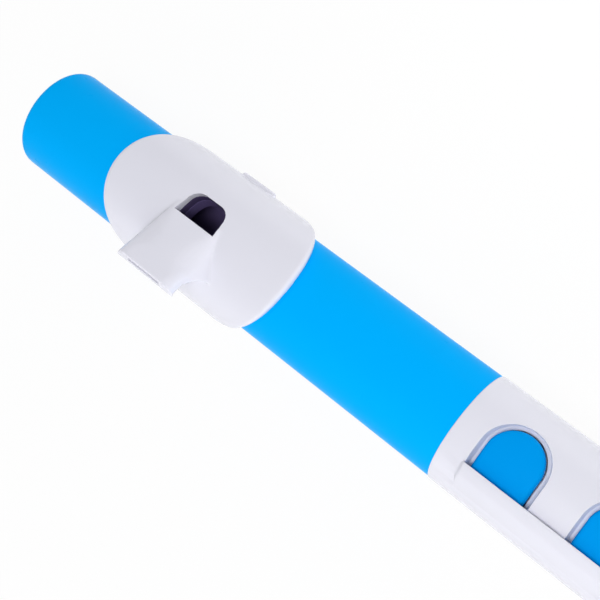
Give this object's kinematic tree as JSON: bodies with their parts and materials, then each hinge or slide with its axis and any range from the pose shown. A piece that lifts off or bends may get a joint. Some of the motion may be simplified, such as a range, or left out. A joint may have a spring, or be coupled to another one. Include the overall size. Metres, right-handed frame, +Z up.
{
  "type": "plastic flute",
  "caption": "Short plastic children's flute: a blue head with a white lip plate and blowing spout, and a white body with blue sprung D-shaped keys over its tone holes.",
  "frame": {"origin": "middle of the flute's length, under its axis, on the surface that it lies on", "axes": "+X along the bore from the crown to the foot, +Z up through the keys, -Y towards the player"},
  "size_m": [0.34, 0.0308, 0.0353],
  "materials": {
    "blue_plastic": "satin",
    "white_plastic": "satin",
    "black_plastic": "matte",
    "silicone": "matte",
    "rubber": "matte",
    "steel": "drawn wire"
  },
  "bodies": {
    "body": {"body_core": "white_plastic", "upper_cover": "white_plastic", "lower_cover": "white_plastic", "left_hand_rod": "steel", "right_hand_rod": "steel", "thumb_rod": "steel", "left_index_spring": "steel", "left_middle_spring": "steel", "left_ring_spring": "steel", "right_index_spring": "steel", "right_middle_spring": "steel", "right_ring_spring": "steel", "right_little_spring": "steel", "left_thumb_spring": "steel"},
    "tenon_rings": {"tenon_o_ring_1": "rubber", "tenon_o_ring_2": "rubber"},
    "head": {"head_tube": "blue_plastic", "head_core": "black_plastic", "embouchure_riser": "black_plastic", "end_plug": "blue_plastic", "stopper": "black_plastic", "stopper_o_ring": "rubber"},
    "lip_plate": {"lip_plate": "white_plastic"},
    "left_index_key": {"left_index_key": "blue_plastic", "left_index_pad": "silicone"},
    "left_middle_key": {"left_middle_key": "blue_plastic", "left_middle_pad": "silicone"},
    "left_ring_key": {"left_ring_key": "blue_plastic", "left_ring_pad": "silicone"},
    "right_index_key": {"right_index_key": "blue_plastic", "right_index_pad": "silicone"},
    "right_middle_key": {"right_middle_key": "blue_plastic", "right_middle_pad": "silicone"},
    "right_ring_key": {"right_ring_key": "blue_plastic", "right_ring_pad": "silicone"},
    "right_little_key": {"right_little_key": "blue_plastic", "right_little_pad": "silicone"},
    "left_thumb_key": {"left_thumb_key": "blue_plastic", "left_thumb_pad": "silicone"}
  },
  "joints": [
    {"name": "head_turn", "type": "hinge", "parent": "body", "child": "tenon_rings", "pos_m": [-0.0477, 0, 0.0147], "axis": [1, 0, 0], "range_deg": [-30, 30]},
    {"name": "head_pull", "type": "slide", "parent": "tenon_rings", "child": "head", "axis": [-1, 0, 0], "range_m": [0, 0.012]},
    {"name": "lip_plate_slide", "type": "slide", "parent": "head", "child": "lip_plate", "axis": [-1, 0, 0], "range_m": [0, 0.085]},
    {"name": "left_index_press", "type": "hinge", "parent": "body", "child": "left_index_key", "pos_m": [-0.0344, -0.00714, 0.02384], "axis": [-1, 0, 0], "range_deg": [0, 8], "stiffness_Nm_per_rad": 0.004, "springref_deg": -17.19, "deforming": ["left_index_spring"]},
    {"name": "left_middle_press", "type": "hinge", "parent": "body", "child": "left_middle_key", "pos_m": [-0.0114, -0.00714, 0.02384], "axis": [-1, 0, 0], "range_deg": [0, 8], "stiffness_Nm_per_rad": 0.004, "springref_deg": -17.19, "deforming": ["left_middle_spring"]},
    {"name": "left_ring_press", "type": "hinge", "parent": "body", "child": "left_ring_key", "pos_m": [0.0116, -0.00714, 0.02384], "axis": [-1, 0, 0], "range_deg": [0, 8], "stiffness_Nm_per_rad": 0.004, "springref_deg": -17.19, "deforming": ["left_ring_spring"]},
    {"name": "right_index_press", "type": "hinge", "parent": "body", "child": "right_index_key", "pos_m": [0.044, -0.00714, 0.02384], "axis": [-1, 0, 0], "range_deg": [0, 8], "stiffness_Nm_per_rad": 0.004, "springref_deg": -17.19, "deforming": ["right_index_spring"]},
    {"name": "right_middle_press", "type": "hinge", "parent": "body", "child": "right_middle_key", "pos_m": [0.067, -0.00714, 0.02384], "axis": [-1, 0, 0], "range_deg": [0, 8], "stiffness_Nm_per_rad": 0.004, "springref_deg": -17.19, "deforming": ["right_middle_spring"]},
    {"name": "right_ring_press", "type": "hinge", "parent": "body", "child": "right_ring_key", "pos_m": [0.09, -0.00714, 0.02384], "axis": [-1, 0, 0], "range_deg": [0, 8], "stiffness_Nm_per_rad": 0.004, "springref_deg": -17.19, "deforming": ["right_ring_spring"]},
    {"name": "right_little_press", "type": "hinge", "parent": "body", "child": "right_little_key", "pos_m": [0.113, -0.00714, 0.02384], "axis": [-1, 0, 0], "range_deg": [0, 8], "stiffness_Nm_per_rad": 0.004, "springref_deg": -17.19, "deforming": ["right_little_spring"]},
    {"name": "left_thumb_press", "type": "hinge", "parent": "body", "child": "left_thumb_key", "pos_m": [-0.02, 0.00714, 0.00556], "axis": [-1, 0, 0], "range_deg": [0, 8], "stiffness_Nm_per_rad": 0.004, "springref_deg": -17.19, "deforming": ["left_thumb_spring"]}
  ]
}
